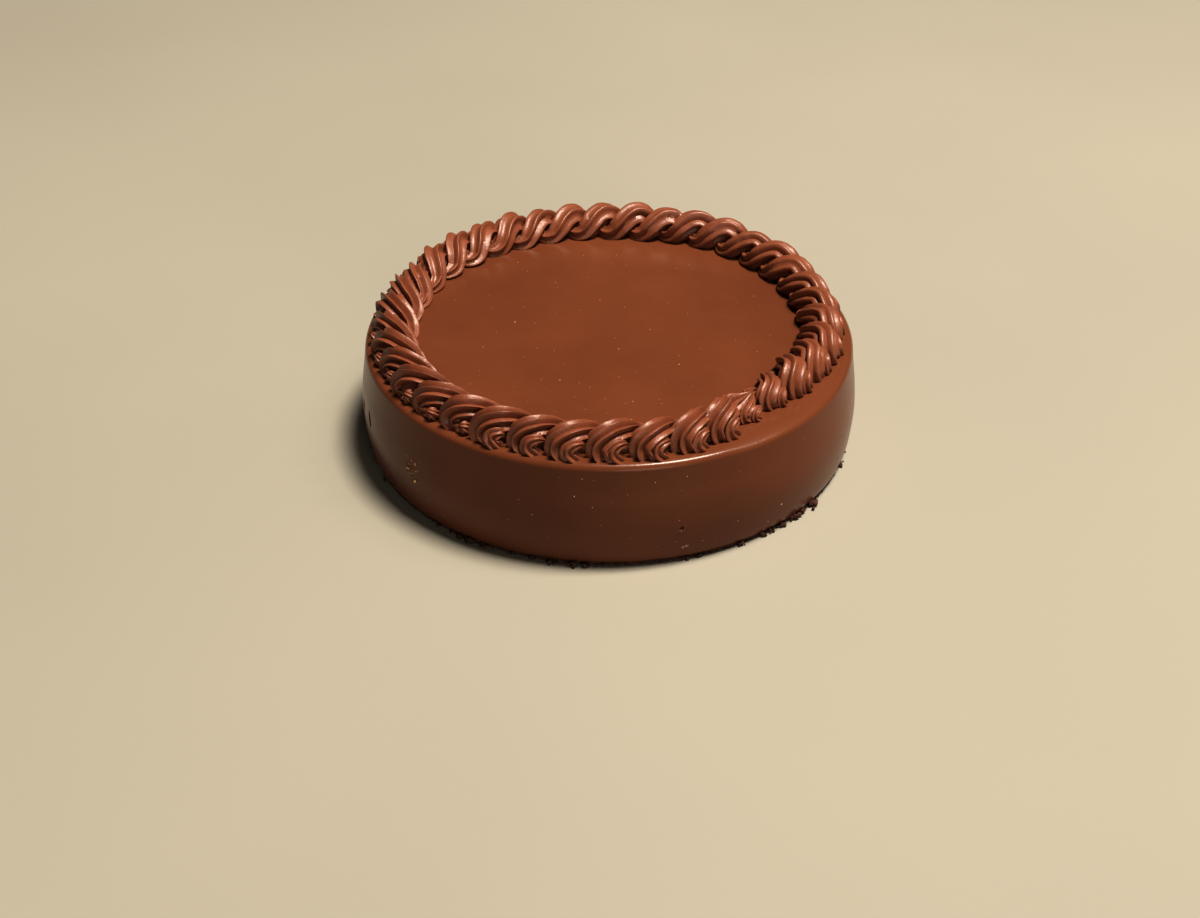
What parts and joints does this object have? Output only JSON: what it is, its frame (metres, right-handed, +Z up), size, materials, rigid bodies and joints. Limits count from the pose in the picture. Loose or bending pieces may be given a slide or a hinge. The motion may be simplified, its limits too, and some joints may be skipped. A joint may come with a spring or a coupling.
{
  "type": "chocolate truffle cake",
  "caption": "Whole round chocolate truffle cake: smooth ganache coat with softly rounded top edge, a leaning piped rope border round the flat top, and a thin dark crumb base.",
  "frame": {"origin": "centre of the flat underside, on the surface the cake rests on", "axes": "+Z up through the middle of the cake, -Y towards the side the picture is taken from, +X to the right in the picture"},
  "size_m": [0.2, 0.2, 0.0557],
  "materials": {
    "ganache": "satin",
    "piping": "satin",
    "crumb": "rough"
  },
  "bodies": {
    "root": {"cake": "ganache", "piped_border": "piping", "sponge_base": "crumb"}
  },
  "joints": []
}
